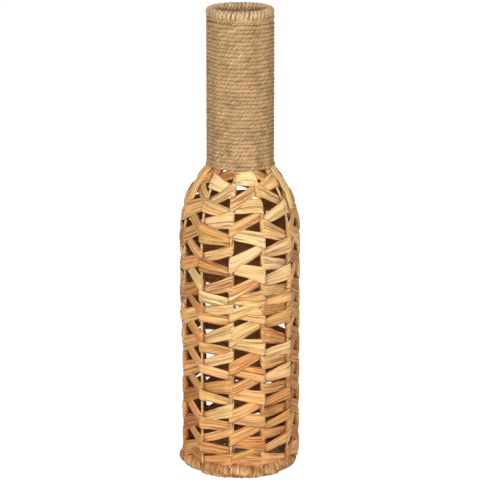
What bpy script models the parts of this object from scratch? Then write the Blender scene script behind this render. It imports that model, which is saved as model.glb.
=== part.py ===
"""Bottle-shaped woven vase, 610 mm tall.

A welded cage of round wire ribs and rings carries everything else. Each bay between two ribs is laced
with a flat strip of dried water-hyacinth leaf that folds over one rib, runs behind it and crosses the
bay to the other rib, so the wall is a net of triangular gaps. The neck is wound with jute twine, the
mouth ring is overcast with the same twine, and the foot ring is bound with thick leaf. The ribs turn
inwards over the foot ring as the spokes of the base, and their odd number lets one strip weave the
base over and under in a single spiral.

Lengths are in metres. The origin is the centre of the base on the surface that the vase stands on, +Z
is up, and -Y is the front.
"""

import math

import bmesh
import bpy
import numpy as np
from mathutils import Matrix, Vector

# Overall sizes
HEIGHT = 0.610
CLEARANCE = 0.0003
FOLD_CLEARANCE = 0.0005

# Wire cage
RIB_COUNT = 11
FIRST_RIB_DEG = 154.7
RIB_WIRE = 0.0032
BODY_RADIUS = 0.0742
NECK_RADIUS = 0.0375
SHOULDER_BOTTOM_Z = 0.316
NECK_BOTTOM_Z = 0.410
NECK_FILLET = 0.016
FOOT_RING_WIRE = 0.0040
FOOT_BEND_RADIUS = 0.0065
MOUTH_RING_WIRE = 0.0030
NECK_RING_WIRE = 0.0032
NECK_RING_HEIGHT_ABOVE_FILLET = 0.006
HUB_RADIUS = 0.012
HUB_THICKNESS = 0.0030

# Leaf lacing of the wall and the shoulder
LEAF_WIDTH_IN_FRONT = 0.0124
LEAF_WIDTH_BEHIND = 0.0084
LEAF_THICKNESS = 0.0012
LACING_PITCH = 0.0336
WRAP_CLIMB = 0.0036
LOWEST_WRAP_Z = 0.0245
WALL_WRAPS = 18
SHOULDER_WRAPS = 5

# Twine of the neck and the rim
TWINE = 0.0045
RIM_TWINE = 0.0036
NECK_TWINE_PITCH = 0.0051
NECK_TWINE_BOTTOM_Z = 0.4035
RIM_TWINE_SPACING = 0.0062
RIM_LOOPS_PER_BAY = 3

# Leaf binding of the foot ring
FOOT_LEAF_WIDTH = 0.0158
FOOT_LEAF_THICKNESS = 0.0050
FOOT_LEAF_SPACING = 0.0170
FOOT_LOOPS_PER_BAY = 2

# Woven base
BASE_LEAF_WIDTH = 0.0080
BASE_LEAF_THICKNESS = 0.0012
BASE_LEAF_GAP = 0.0006
BASE_WEAVE_INNER_RADIUS = 0.020
BASE_WEAVE_FOOT_GAP = 0.0024

# Facets
WIRE_BEVEL_RESOLUTION = 1
TWINE_BEVEL_RESOLUTION = 1
RING_SEGMENTS = 33
RING_SIDES = 6
LOOP_SIDES = 6
WRAP_TURN = math.radians(60)
ARC_STEP = math.radians(6)
GAP_SAMPLES = 4

# What follows from them
BAY = 2 * math.pi / RIB_COUNT
RIB_HALF = RIB_WIRE / 2
FOOT_RING_RADIUS = BODY_RADIUS - FOOT_BEND_RADIUS
FOOT_LEAF_SAG = FOOT_LEAF_WIDTH**2 / (8 * FOOT_RING_RADIUS)
FOOT_LOOP_APOTHEM = FOOT_RING_WIRE / 2 + CLEARANCE + FOOT_LEAF_SAG + FOOT_LEAF_THICKNESS / 2
FOOT_RING_Z = FOOT_LOOP_APOTHEM + FOOT_LEAF_THICKNESS / 2
SPOKE_Z = FOOT_RING_Z + FOOT_RING_WIRE / 2 + CLEARANCE + RIB_HALF
WALL_BOTTOM_Z = SPOKE_Z + FOOT_BEND_RADIUS
RIM_LOOP_APOTHEM = MOUTH_RING_WIRE / 2 + CLEARANCE + RIM_TWINE / 2
RIM_LOOP_RADIUS = RIM_LOOP_APOTHEM / math.cos(math.pi / LOOP_SIDES)
MOUTH_RING_Z = HEIGHT - RIM_LOOP_APOTHEM - RIM_TWINE / 2
RIM_BOTTOM_Z = MOUTH_RING_Z - RIM_LOOP_APOTHEM - RIM_TWINE / 2
RIB_TOP_Z = MOUTH_RING_Z - MOUTH_RING_WIRE / 2 - CLEARANCE
SHOULDER_TURN = 2 * math.atan2(BODY_RADIUS - NECK_RADIUS, NECK_BOTTOM_Z - SHOULDER_BOTTOM_Z)
SHOULDER_RADIUS = (NECK_BOTTOM_Z - SHOULDER_BOTTOM_Z) / math.sin(SHOULDER_TURN) - NECK_FILLET
WRAP_RADIUS = (RIB_HALF + FOLD_CLEARANCE + LEAF_THICKNESS / 2) / math.cos(WRAP_TURN / 2)


def clear_scene():
    for obj in list(bpy.data.objects):
        bpy.data.objects.remove(obj, do_unlink=True)


def make_material(name, colour, roughness, metallic=0.0):
    """A Principled material of one colour, roughness and metallic value."""
    material = bpy.data.materials.new(name)
    material.use_nodes = True
    shader = material.node_tree.nodes["Principled BSDF"]
    shader.inputs["Base Color"].default_value = (*colour, 1.0)
    shader.inputs["Roughness"].default_value = roughness
    shader.inputs["Metallic"].default_value = metallic
    return material


def add_object(name, data, material, collection, turn=0.0):
    """Links data as one named object, turned about the vase's axis."""
    obj = bpy.data.objects.new(name, data)
    obj.rotation_euler.z = turn
    if not data.materials:
        data.materials.append(material)
    collection.objects.link(obj)
    return obj


def rib_turn(index):
    """Angle about +Z of a rib; the first one stands at the back, where two like bays have to meet."""
    return math.radians(FIRST_RIB_DEG - 90) + index * BAY


class RibProfile:
    """The rib's centreline above the foot bend, as straights and arcs that join smoothly.

    It is read by arc length from the top of the foot bend. The straight wall turns inwards over the
    shoulder arc, and the neck fillet turns it back upright. An offset profile lies that far outside.
    """

    def __init__(self, offset=0.0):
        self.start = (BODY_RADIUS + offset, WALL_BOTTOM_Z)
        self.wall = SHOULDER_BOTTOM_Z - WALL_BOTTOM_Z
        self.shoulder_radius = SHOULDER_RADIUS + offset
        self.fillet_radius = NECK_FILLET - offset
        self.shoulder = self.shoulder_radius * SHOULDER_TURN
        self.fillet = self.fillet_radius * SHOULDER_TURN
        self.neck = RIB_TOP_Z - NECK_BOTTOM_Z
        self.length = self.wall + self.shoulder + self.fillet + self.neck

    def at(self, s):
        """(radius, height, lean inwards) at arc length s."""
        radius, height = self.start
        if s <= self.wall:
            return radius, height + s, 0.0
        s -= self.wall
        height += self.wall
        turn = min(s / self.shoulder_radius, SHOULDER_TURN)
        radius -= self.shoulder_radius * (1 - math.cos(turn))
        height += self.shoulder_radius * math.sin(turn)
        if s <= self.shoulder:
            return radius, height, turn
        s -= self.shoulder
        lean = max(SHOULDER_TURN - s / self.fillet_radius, 0.0)
        radius -= self.fillet_radius * (math.cos(lean) - math.cos(SHOULDER_TURN))
        height += self.fillet_radius * (math.sin(SHOULDER_TURN) - math.sin(lean))
        return radius, height + max(s - self.fillet, 0.0), lean

    def arc_length_at(self, target_height):
        """Arc length at which the profile reaches a height, by halving."""
        low, high = 0.0, self.length
        for _ in range(40):
            middle = (low + high) / 2
            if self.at(middle)[1] < target_height:
                low = middle
            else:
                high = middle
        return low


def wire_curve(name, points, thickness, resolution):
    """A round wire or twine: a poly curve along the points, with closed ends."""
    curve = bpy.data.curves.new(name, "CURVE")
    curve.dimensions = "3D"
    curve.bevel_depth = thickness / 2
    curve.bevel_resolution = resolution
    curve.use_fill_caps = True
    spline = curve.splines.new("POLY")
    spline.points.add(len(points) - 1)
    for spot, point in zip(spline.points, points):
        spot.co = (*point, 1.0)
    return curve


def rib_points():
    """Rib centreline in its own X-Z plane: spoke, foot bend, wall, shoulder, neck."""
    profile = RibProfile()
    points = [(HUB_RADIUS + CLEARANCE, 0, SPOKE_Z)]
    steps = math.ceil(math.pi / 2 / math.radians(30))
    for step in range(steps + 1):
        turn = math.pi / 2 * step / steps
        points.append(
            (
                FOOT_RING_RADIUS + FOOT_BEND_RADIUS * math.sin(turn),
                0,
                WALL_BOTTOM_Z - FOOT_BEND_RADIUS * math.cos(turn),
            )
        )
    shoulder_steps = math.ceil(SHOULDER_TURN / ARC_STEP)
    fillet_steps = math.ceil(SHOULDER_TURN / (2 * ARC_STEP))
    stations = [profile.wall + profile.shoulder * i / shoulder_steps for i in range(shoulder_steps + 1)]
    fillet_start = profile.wall + profile.shoulder
    stations += [fillet_start + profile.fillet * (i + 1) / fillet_steps for i in range(fillet_steps)]
    stations.append(profile.length)
    for s in stations:
        radius, height, _ = profile.at(s)
        points.append((radius, 0, height))
    return points


def make_ribs(material, collection):
    curve = wire_curve("rib", rib_points(), RIB_WIRE, WIRE_BEVEL_RESOLUTION)
    for index in range(RIB_COUNT):
        add_object(f"rib_{index + 1:02d}", curve, material, collection, rib_turn(index))


def make_ring(name, radius, wire, height, material, collection):
    """A closed wire ring about the vase's axis."""
    bpy.ops.mesh.primitive_torus_add(
        major_segments=RING_SEGMENTS,
        minor_segments=RING_SIDES,
        major_radius=radius,
        minor_radius=wire / 2,
        location=(0, 0, height),
    )
    ring = bpy.context.object
    ring.name = name
    ring.data.name = name
    ring.data.materials.append(material)
    ring.data.shade_smooth()
    for owner in list(ring.users_collection):
        owner.objects.unlink(ring)
    collection.objects.link(ring)
    return ring


def make_hub(material, collection):
    """The disc in the middle of the base that the spokes are welded to."""
    mesh = bpy.data.meshes.new("hub_disc")
    bm = bmesh.new()
    bmesh.ops.create_cone(
        bm,
        cap_ends=True,
        segments=RIB_COUNT * 2,
        radius1=HUB_RADIUS,
        radius2=HUB_RADIUS,
        depth=HUB_THICKNESS,
    )
    bm.to_mesh(mesh)
    bm.free()
    hub = add_object("hub_disc", mesh, material, collection)
    hub.location.z = SPOKE_Z
    bevel = hub.modifiers.new("worn_edge", "BEVEL")
    bevel.width = HUB_THICKNESS / 6
    bevel.segments = 1
    return hub


def leaf_strip(name, rows):
    """The middle surface of a leaf strip: an open band through rows of two edge points each."""
    bm = bmesh.new()
    corners = [(bm.verts.new(one), bm.verts.new(other)) for one, other in rows]
    for (a, b), (c, d) in zip(corners, corners[1:]):
        bm.faces.new((a, b, d, c))
    mesh = bpy.data.meshes.new(name)
    bm.to_mesh(mesh)
    bm.free()
    return mesh


def thicken(obj, thickness):
    """Gives a strip its thickness, evenly to both sides of its middle surface."""
    shell = obj.modifiers.new("leaf_thickness", "SOLIDIFY")
    shell.thickness = thickness
    shell.offset = 0
    shell.use_even_offset = True
    shell.use_quality_normals = True
    return obj


def wrap_rows(profile, station, side, laced_down):
    """The three folds of a strip round one rib, going up, each a (lower, upper) pair of edge points.

    side is -1 for the bay's left rib and +1 for its right one. A strip that is laced down comes up
    behind the rib and leaves in front of it; the other kind comes up in front and leaves behind.
    Every fold lies along the rib, square to the flat of the bay, and the strip narrows behind the
    rib, where it is drawn tight.
    """
    spin = Matrix.Rotation(BAY if side > 0 else 0.0, 3, "Z")
    rows = []
    for step, behind in enumerate((1, 0, -1) if laced_down else (-1, 0, 1)):
        radius, height, lean = profile.at(station + (step - 1) * WRAP_CLIMB / 2)
        outward = Vector((math.cos(lean), 0, math.sin(lean)))
        upward = Vector((-math.sin(lean), 0, math.cos(lean)))
        angle = (math.pi - BAY) / 2 + behind * WRAP_TURN
        away = outward * math.cos(angle) + Vector((0, side, 0)) * math.sin(angle)
        fold = Vector((radius, 0, height)) + away * WRAP_RADIUS
        width = LEAF_WIDTH_IN_FRONT + (LEAF_WIDTH_BEHIND - LEAF_WIDTH_IN_FRONT) * (behind + 1) / 2
        rows.append((spin @ (fold - upward * width / 2), spin @ (fold + upward * width / 2)))
    return rows


def lacing_rows(first_wrap, wraps, laced_down):
    """Edge points of one bay's zigzag from its lowest wrap up; even wraps are on the bay's left rib."""
    profile = RibProfile()
    rows = []
    for wrap in range(first_wrap, first_wrap + wraps):
        station = LOWEST_WRAP_Z - WALL_BOTTOM_Z + wrap * LACING_PITCH / 2
        rows += wrap_rows(profile, station, -1 if wrap % 2 == 0 else 1, laced_down)
    return rows


def run_up_to(rows, next_row):
    """Rows carried on towards the first row of the strip above, ending just short of it."""
    ends = []
    for last, following in zip(rows[-1], next_row):
        run = following - last
        ends.append(following - run.normalized() * CLEARANCE * 2)
    return rows + [tuple(ends)]


def make_lacing(material, collection):
    """Wall and shoulder lacing of every bay; neighbouring bays are laced in opposite directions."""
    for hand, laced_down in enumerate((True, False)):
        shoulder = lacing_rows(WALL_WRAPS, SHOULDER_WRAPS, laced_down)
        wall = run_up_to(lacing_rows(0, WALL_WRAPS, laced_down), shoulder[0])
        for label, rows in (("wall_lacing", wall), ("shoulder_lacing", shoulder)):
            mesh = leaf_strip(label, rows)
            for index in range(hand, RIB_COUNT, 2):
                name = f"{label}_{index + 1:02d}"
                thicken(add_object(name, mesh, material, collection, rib_turn(index)), LEAF_THICKNESS)


def least_gap(points, thickness, apart):
    """Smallest gap between lengths of a twine that lie at least so many points apart along it."""
    points = np.array(points)
    share = np.arange(GAP_SAMPLES)[:, None] / GAP_SAMPLES
    dense = np.concatenate([a + share * (b - a) for a, b in zip(points, points[1:])])
    least = math.inf
    for i in range(len(dense)):
        others = dense[i + apart * GAP_SAMPLES :]
        if len(others):
            least = min(least, float(np.linalg.norm(others - dense[i], axis=1).min()))
    return least - thickness


def make_neck_winding(material, collection):
    """Two lengths of twine wound over the ribs; each turn bends at every rib and runs straight between.

    A whole number of turns runs down from the rim to about the given height.
    """
    profile = RibProfile(RIB_HALF + CLEARANCE + TWINE / 2)
    top = profile.arc_length_at(RIM_BOTTOM_Z - CLEARANCE - TWINE / 2)
    turns = round((top - profile.arc_length_at(NECK_TWINE_BOTTOM_Z)) / NECK_TWINE_PITCH)
    bottom = top - turns * NECK_TWINE_PITCH
    middle = (turns + 1) // 2 * RIB_COUNT
    for label, bends in (("lower", range(middle)), ("upper", range(middle, turns * RIB_COUNT + 1))):
        points = []
        for bend in bends:
            radius, height, _ = profile.at(bottom + NECK_TWINE_PITCH * bend / RIB_COUNT)
            angle = rib_turn(-bend)
            points.append((radius * math.cos(angle), radius * math.sin(angle), height))
        name = f"neck_twine_{label}"
        print(f"{name}: least gap to itself {least_gap(points, TWINE, RIB_COUNT - 2) * 1000:.2f} mm")
        add_object(name, wire_curve(name, points, TWINE, TWINE_BEVEL_RESOLUTION), material, collection)


def loop_stations(count_per_bay, spacing, ring_radius):
    """Angles at which the loops round a ring pass the ribs' side of it, grouped clear of the ribs."""
    angles = []
    for bay in range(RIB_COUNT):
        middle = rib_turn(bay) + BAY / 2
        for loop in range(count_per_bay):
            angles.append(middle + (loop - (count_per_bay - 1) / 2) * spacing / ring_radius)
    return angles


def ring_loop_path(stations, loop_radius, ring_radius, ring_z, ribs_below):
    """(angle about Z, section angle, point) at each bend of a strand looped round a ring.

    A loop has LOOP_SIDES bends with a flat facing the ribs. It stays at its own station where it
    passes them, and moves on to the next station over the other three bends. The last loop stops two
    bends short, so that the strand's ends stay apart.
    """
    shares = (0, 0, 0, 1 / 3, 2 / 3, 1)
    path = []
    for here, there in zip(stations, stations[1:] + [stations[0] + 2 * math.pi]):
        for bend, share in enumerate(shares):
            section = math.radians(-30 + bend * 60)
            angle = here + (there - here) * share
            inward = math.sin(section) * loop_radius
            upward = math.cos(section) * loop_radius * (-1 if ribs_below else 1)
            path.append((angle, ring_radius - inward, ring_z + upward))
    return path[: len(path) - 2]


def make_rim_twine(material, collection):
    """Twine drawn tight and overcast round the mouth ring; its loops part at each rib's end."""
    stations = loop_stations(RIM_LOOPS_PER_BAY, RIM_TWINE_SPACING, NECK_RADIUS)
    path = ring_loop_path(stations, RIM_LOOP_RADIUS, NECK_RADIUS, MOUTH_RING_Z, True)
    points = [(r * math.cos(angle), r * math.sin(angle), z) for angle, r, z in path]
    print(f"rim_twine: least gap to itself {least_gap(points, RIM_TWINE, LOOP_SIDES - 2) * 1000:.2f} mm")
    curve = wire_curve("rim_twine", points, RIM_TWINE, TWINE_BEVEL_RESOLUTION)
    add_object("rim_twine", curve, material, collection)


def make_foot_binding(material, collection):
    """Thick leaf bound round the foot ring, flat underneath, parted where each rib crosses the ring."""
    stations = loop_stations(FOOT_LOOPS_PER_BAY, FOOT_LEAF_SPACING, FOOT_RING_RADIUS)
    loop_radius = FOOT_LOOP_APOTHEM / math.cos(math.pi / LOOP_SIDES)
    path = ring_loop_path(stations, loop_radius, FOOT_RING_RADIUS, FOOT_RING_Z, False)
    half = FOOT_LEAF_WIDTH / 2 / FOOT_RING_RADIUS
    edges = []
    for angle, r, z in path:
        low, high = angle - half, angle + half
        edges.append(
            (
                Vector((r * math.cos(low), r * math.sin(low), z)),
                Vector((r * math.cos(high), r * math.sin(high), z)),
            )
        )
    mesh = leaf_strip("foot_binding", edges)
    thicken(add_object("foot_binding", mesh, material, collection), FOOT_LEAF_THICKNESS)


def make_base_weave(material, collection):
    """One leaf strip woven over and under the spokes in a flat spiral, from the hub out to the foot."""
    course = BASE_LEAF_WIDTH + BASE_LEAF_GAP
    outermost = FOOT_RING_RADIUS - FOOT_RING_Z - BASE_WEAVE_FOOT_GAP
    courses = (outermost - BASE_WEAVE_INNER_RADIUS - BASE_LEAF_WIDTH) / course
    lift = RIB_HALF + FOLD_CLEARANCE + BASE_LEAF_THICKNESS / 2
    edges = []
    for crossing in range(math.floor(courses * RIB_COUNT) + 1):
        inner = BASE_WEAVE_INNER_RADIUS + course * crossing / RIB_COUNT
        outer = inner + BASE_LEAF_WIDTH
        angle = rib_turn(crossing)
        z = SPOKE_Z + lift * (-1) ** crossing
        edges.append(
            (
                Vector((inner * math.cos(angle), inner * math.sin(angle), z)),
                Vector((outer * math.cos(angle), outer * math.sin(angle), z)),
            )
        )
    mesh = leaf_strip("base_weave", edges)
    thicken(add_object("base_weave", mesh, material, collection), BASE_LEAF_THICKNESS)


def main():
    clear_scene()
    vase = bpy.data.collections.new("woven_vase")
    bpy.context.scene.collection.children.link(vase)
    wire = make_material("straw_coated_wire", (0.72, 0.55, 0.34), 0.55)
    leaf = make_material("hyacinth_leaf", (0.66, 0.43, 0.20), 0.72)
    foot_leaf = make_material("foot_leaf", (0.60, 0.36, 0.17), 0.75)
    twine = make_material("jute_twine", (0.50, 0.35, 0.19), 0.9)
    make_ribs(wire, vase)
    make_ring("foot_ring", FOOT_RING_RADIUS, FOOT_RING_WIRE, FOOT_RING_Z, wire, vase)
    neck_ring_radius = NECK_RADIUS - RIB_HALF - CLEARANCE - NECK_RING_WIRE / 2
    neck_ring_z = NECK_BOTTOM_Z + NECK_RING_HEIGHT_ABOVE_FILLET
    make_ring("neck_ring", neck_ring_radius, NECK_RING_WIRE, neck_ring_z, wire, vase)
    make_ring("mouth_ring", NECK_RADIUS, MOUTH_RING_WIRE, MOUTH_RING_Z, wire, vase)
    make_hub(wire, vase)
    make_lacing(leaf, vase)
    make_base_weave(leaf, vase)
    make_foot_binding(foot_leaf, vase)
    make_neck_winding(twine, vase)
    make_rim_twine(twine, vase)


main()
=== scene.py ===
"""Looks of a bottle-shaped woven vase.

Flat strips of dried leaf are laced in zigzags between the ribs of a wire cage, jute rope is wound
round the neck and over the rim, and thick leaf is bound round the foot. Every strip and rope is a
closed section carried along a path. Lengths are in metres, unless a comment says millimetres, +Z
is up and -Y is the front.
"""

import math

import bpy
import numpy as np
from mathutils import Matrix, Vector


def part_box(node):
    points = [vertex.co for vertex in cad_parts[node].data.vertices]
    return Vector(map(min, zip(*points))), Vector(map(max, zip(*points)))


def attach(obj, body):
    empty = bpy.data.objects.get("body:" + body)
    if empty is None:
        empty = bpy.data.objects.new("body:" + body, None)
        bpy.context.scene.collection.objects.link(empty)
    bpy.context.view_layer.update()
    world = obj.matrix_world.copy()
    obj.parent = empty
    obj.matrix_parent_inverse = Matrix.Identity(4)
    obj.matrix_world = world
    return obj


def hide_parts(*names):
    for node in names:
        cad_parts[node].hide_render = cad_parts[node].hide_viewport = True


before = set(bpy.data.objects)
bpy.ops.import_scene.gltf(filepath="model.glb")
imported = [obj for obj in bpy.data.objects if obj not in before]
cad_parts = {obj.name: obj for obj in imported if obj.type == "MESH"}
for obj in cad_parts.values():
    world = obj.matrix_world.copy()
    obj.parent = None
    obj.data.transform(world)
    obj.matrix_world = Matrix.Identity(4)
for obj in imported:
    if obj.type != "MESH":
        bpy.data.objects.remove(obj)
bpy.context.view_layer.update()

# Cage, as in the frame
RIB_COUNT = 11
BAY = 2 * math.pi / RIB_COUNT
FIRST_RIB = math.radians(154.7 - 90)
BODY_RADIUS = 0.0742
NECK_RADIUS = 0.0375
SHOULDER_BOTTOM_Z = 0.316
NECK_BOTTOM_Z = 0.410
NECK_FILLET = 0.016
SHOULDER_TURN = 2 * math.atan2(BODY_RADIUS - NECK_RADIUS, NECK_BOTTOM_Z - SHOULDER_BOTTOM_Z)
SHOULDER_RADIUS = (NECK_BOTTOM_Z - SHOULDER_BOTTOM_Z) / math.sin(SHOULDER_TURN) - NECK_FILLET

# Seeds of the random draws
LACING_SEED = 100
LEAF_END_SEED = 60
FOOT_SEED = 7
BASE_SEED = 8
NECK_COURSE_SEED = 30
NECK_ROPE_SEEDS = (31, 32)
RIM_SEED = 33
HAIR_SEED = 34

# Unevenness: how much, and its shortest and longest wave
EDGE_WAVES = (0.0006, 0.02, 0.06)
LEAF_END_WIDTH_WAVES = (0.0007, 0.12, 0.4)
LEAF_END_LIFT_WAVES = (0.0008, 0.25, 0.7)
LEAF_END_COURSE_WAVES = (0.0009, 0.5, 1.2)
FOOT_WIDTH_WAVES = (0.0010, 0.02, 0.08)
FOOT_SHADE_WAVES = (0.35, 0.009, 0.03)
FOOT_ROUNDNESS_WAVES = (0.12, 0.04, 0.15)
BASE_WIDTH_WAVES = (0.0003, 2, 7)
BASE_TONE_WAVES = (0.3, 6, 20)
BASE_STREAK_WAVES = (1, 4, 12)
ROPE_SHORT_WAVES = (0.05, 0.008, 0.03)
ROPE_LONG_WAVES = (0.04, 0.05, 0.2)
NECK_SHORT_WAVES = (0.0003, 0.08, 0.3)
NECK_LONG_WAVES = (0.00045, 0.3, 1.1)
RIM_SPACING_WAVES = (0.018, 1.5, 6)
RIM_REACH_WAVES = (0.15, 1.5, 5)

# Bays, numbered to the right as seen from the front, where bay 7 is in the middle
BACK_BAYS = (1, 2, 3, 10, 11)
SIDE_BAYS = (3, 4, 5, 9, 10)
SLIM_BAYS = (6, 8)

# Leaf strips: their section, their folds, and the rows of sections on each leg
LEAF_THICKNESS = 0.0013
HALF_LEAF = 0.009
FACE_POINTS = 17
NARROW_WIDTH = 0.0125
FOLD_RADIUS = 0.0025
FOLD_RADIUS_STEP = 0.0010
CROSSING_ROWS = 18
FOLD_ROWS = 10
ROW_STEP = 0.0022
OPENING_HASTE = 1.15

# On each leg's rows, the share of the way over its bay, and then of the turn round the rib
OVER = np.concatenate((np.arange(CROSSING_ROWS) / CROSSING_ROWS, np.ones(FOLD_ROWS)))
TURNED = np.concatenate((np.zeros(CROSSING_ROWS), np.arange(FOLD_ROWS) / FOLD_ROWS))

# How far a leg's narrow end reaches past the middle of what is seen of it behind a rib
BELOW_ON_THE_LEFT = (0.0018, 0.0030)
BELOW_ON_THE_RIGHT = (0.0032, 0.0045)
ABOVE_THE_MIDDLE = 0.0030

# How much wider strips are than their legs' heights say
EXTRA_WIDTH = 0.0020
EXTRA_WIDTH_AT_THE_SIDES = 0.0042
EXTRA_WIDTH_BEHIND = 0.0080
SLIMMER_BELOW = 0.0015
SLIMMER_FROM_Z = 0.24
SLIMMER_WITHIN = 0.06
OPENED_BEHIND = 0.0080
OPENED_FROM_Z = 0.29
OPENED_WITHIN = 0.05

# Relief of a leg between its ribs; its two ends are held flat
PLEAT_COUNT = (1.4, 3.4)
PLEAT_DEPTH = (0.0006, 0.0018)
CROWN = (0.0006, 0.0026)
TWIST = 0.0009
HELD_SHARE = 0.16
SIDE_RELIEF = 0.6

# The wall's fuller left side: how far the strips of two bays bulge, and between which heights
LEFT_BULGE = {4: 0.0050, 5: 0.0004}
BULGE_FROM_Z = 0.15
BULGE_WITHIN = 0.08
BULGE_TO_Z = 0.395
BULGE_ENDS_WITHIN = 0.04

# Legs of the bays that aren't in the tables below, in millimetres
LACING_PITCH = 33.6
FOLD_HEIGHT = 18.0
RISE = 13
RISE_BEHIND = 8
SPREAD = 2.5
SPREAD_BEHIND = 3.5
HALF_HEIGHT_SPREAD = 2.0
BOTTOM_FOLD = 20
TOP_FOLD = 397
SECOND_FOLD_UPWARD = 24
SECOND_FOLD_DOWNWARD = 26
LEFT_EDGE_PITCH = 36
LEFT_EDGE_RISE = 14
LEFT_EDGE_RIGHT_FOLD = 14

# Heights in millimetres of the three bays that face the front, from the bottom fold up. Each leg
# is (lower edge, upper edge) where it folds over the front of a rib, and the middle of its narrow
# end behind the other rib. The folds are on the bay's two ribs in turn. The bottom one is on the
# right rib, but in the right bay on the left one.
MIDDLE_BAY = (
    (14, 29, 20), (19, 31, 36), (37, 55, 44), (45, 62, 69), (69, 85, 77),
    (76, 92, 100), (99, 117, 110), (111, 127, 133), (129, 148, 142), (140, 158, 166),
    (166, 187, 178), (179, 203, 208), (208, 227, 218), (212, 227, 232), (232, 252, 236),
    (236, 258, 264), (262, 284, 278), (277, 297, 306), (310, 328, 323), (325, 340, 348),
    (353, 369, 356), (356, 370, 381), (384, 402, 392),
)
RIGHT_BAY = (
    (17, 33, 20), (40, 57, 38), (52, 66, 58), (72, 85, 68), (82, 94, 90),
    (100, 117, 100), (114, 127, 120), (130, 150, 135), (147, 164, 156), (160, 178, 168),
    (182, 205, 182), (203, 222, 209), (219, 232, 225), (232, 247, 236), (246, 258, 250),
    (262, 281, 265), (281, 297, 282), (297, 317, 302), (323, 345, 319), (348, 363, 345),
    (372, 388, 367), (381, 396, 383), (393, 406, 391),
)
LEFT_BAY = (
    (18, 34, 20), (30, 46, 38), (58, 70, 50), (63, 80, 72), (83, 102, 80),
    (102, 117, 104), (115, 135, 120), (139, 151, 140), (158, 172, 152), (166, 181, 173),
    (188, 210, 185), (208, 220, 214), (223, 235, 223), (235, 248, 237), (253, 272, 250),
    (275, 293, 278), (300, 313, 294), (313, 338, 321), (335, 355, 340), (352, 367, 355),
    (374, 388, 365), (380, 396, 384), (393, 405, 396),
)

# Shades of the middle bay's legs from the bottom up, from 0 pale straw to 1 brown, and how red
# their streaks are
MIDDLE_TONES = (
    0.35, 0.45, 0.62, 0.45, 0.22, 0.32, 0.20, 0.32, 0.42, 0.55, 0.20, 0.26,
    0.20, 0.36, 0.26, 0.30, 0.12, 0.10, 0.08, 0.52, 0.30, 0.18, 0.05,
)
MIDDLE_STREAKS = (
    0.2, 0.3, 0.6, 0.3, 0.1, 0.2, 0.1, 0.0, 0.7, 0.7, 0.0, 0.0,
    0.2, 0.3, 0.8, 0.9, 0.0, 0.0, 0.0, 0.4, 0.3, 0.7, 0.0,
)

# Shades of some bays' uppermost legs, from the top down
TOP_TONES = {
    5: (0.9, 0.75, 0.5),
    6: (0.9, 0.02, 0.2, 0.3, 0.15),
    8: (0.55, 0.3, 0.35, 0.2),
    9: (0.1, 0.2, 0.15),
}

# How much browner the side bays' strips are, as painted shade of the sides, and how red some
# bays' streaks get at most
SIDE_PAINTED_SHADE = 0.20
REDDEST = {8: 0.3, **dict.fromkeys(SIDE_BAYS, 0.6)}

# Loose leaf ends: their bay, place across it from -1 to 1, lowest point and shade
LEAF_ENDS = ((5, -0.72, 0.358, 0.5), (9, -0.12, 0.350, 0.2))
LEAF_END_ROWS = 48
LEAF_END_TOP_Z = 0.402
LEAF_END_HALF_WIDTH = 0.0074
LEAF_END_STANDS_OUT = 0.0040
LEAF_END_SLANT = 0.0025
LEAF_END_PLEATS = (3.4, 0.3, 0.0015)
LEAF_END_CROWN = 0.0010
LEAF_END_LENGTH = 0.06

# Binding of the foot, in two loops a bay
FOOT_LEAF_THICKNESS = 0.0026
FOOT_LOOP_SPACING = 0.0172
FOOT_LOOP_ROWS = 26
FOOT_LOOP_SPREAD = 0.02
FOOT_MOVES_FROM = 0.45
FOOT_MOVES_WITHIN = 0.45
FOOT_HALF_WIDTH = (0.0080, 0.0096)
FOOT_HALF_GRAIN = 0.0085
FOOT_PLEATS = 2.7
FOOT_PLEAT_DEPTH = 0.0014
FOOT_HOLLOW_FROM = 0.55
FOOT_HOLLOW_WITHIN = 0.45
FOOT_ROUNDNESS = 1.12
FOOT_LUMPS = (-0.0008, 0.0012)
FOOT_SWELL = 0.0046
FOOT_SLIMMER_AT_THE_SIDES = 0.0072
FOOT_FULLER_ON_TOP = 0.0028
FOOT_LEFT_SWELL = 0.0046
FOOT_LEFT_SWELL_AT = math.radians(186)
FOOT_LEFT_SWELL_WITHIN = 0.34

# Woven base
BASE_INNER_RADIUS = 0.020
BASE_OUTER_RADIUS = 0.0575
BASE_COURSE = 0.0086
BASE_LEAF_WIDTH = 0.0092
BASE_ROWS_PER_SPOKE = 8
BASE_GRAIN_RADIUS = 0.04

# Rope
ROPE_RADIUS = 0.00275
ROPE_LAY = 0.0165
ROPE_PLIES = 3
PLY_SHARPNESS = 0.6
ROPE_SIDES = 15
ROPE_STEP = 0.0018

# Neck winding
NECK_PITCH = 0.0051
NECK_ROPE_BOTTOM_Z = 0.4035
NECK_ROPE_TOP_Z = 0.5968
RIB_WIRE_RADIUS = 0.0016
DIP_BETWEEN_RIBS = 0.0006
TUCK_UNDER_TOP_TURN = 0.0020
NECK_ROPE_BREADTH = 1.05
NECK_ROPE_RELIEF = 0.21
# Painted shade on the neck rope's inner side
NECK_ROPE_INNER_SHADE = 2.0

# Overcast rim
RIM_LOOPS = 46
RIM_ROWS_PER_LOOP = 22
RIM_ROPE_DEPTH = 0.0018
RIM_THINNER_INSIDE = 0.0010
RIM_GAP_TO_RING = 0.0001
RIM_STANDS_OUT = 0.0016
RIM_REACH_DOWN = 0.3
RIM_REACH_DOWN_OUTSIDE = 0.75
RIM_DROP_OUTSIDE = 0.0008
RIM_LIFT = 0.0004
RIM_ROPE_BREADTH = 0.47
RIM_ROPE_RELIEF = 0.10
# How far the rim's loops are lifted into painted light, all but at their sides
RIM_PAINTED_LIGHT = 1.2

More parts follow.
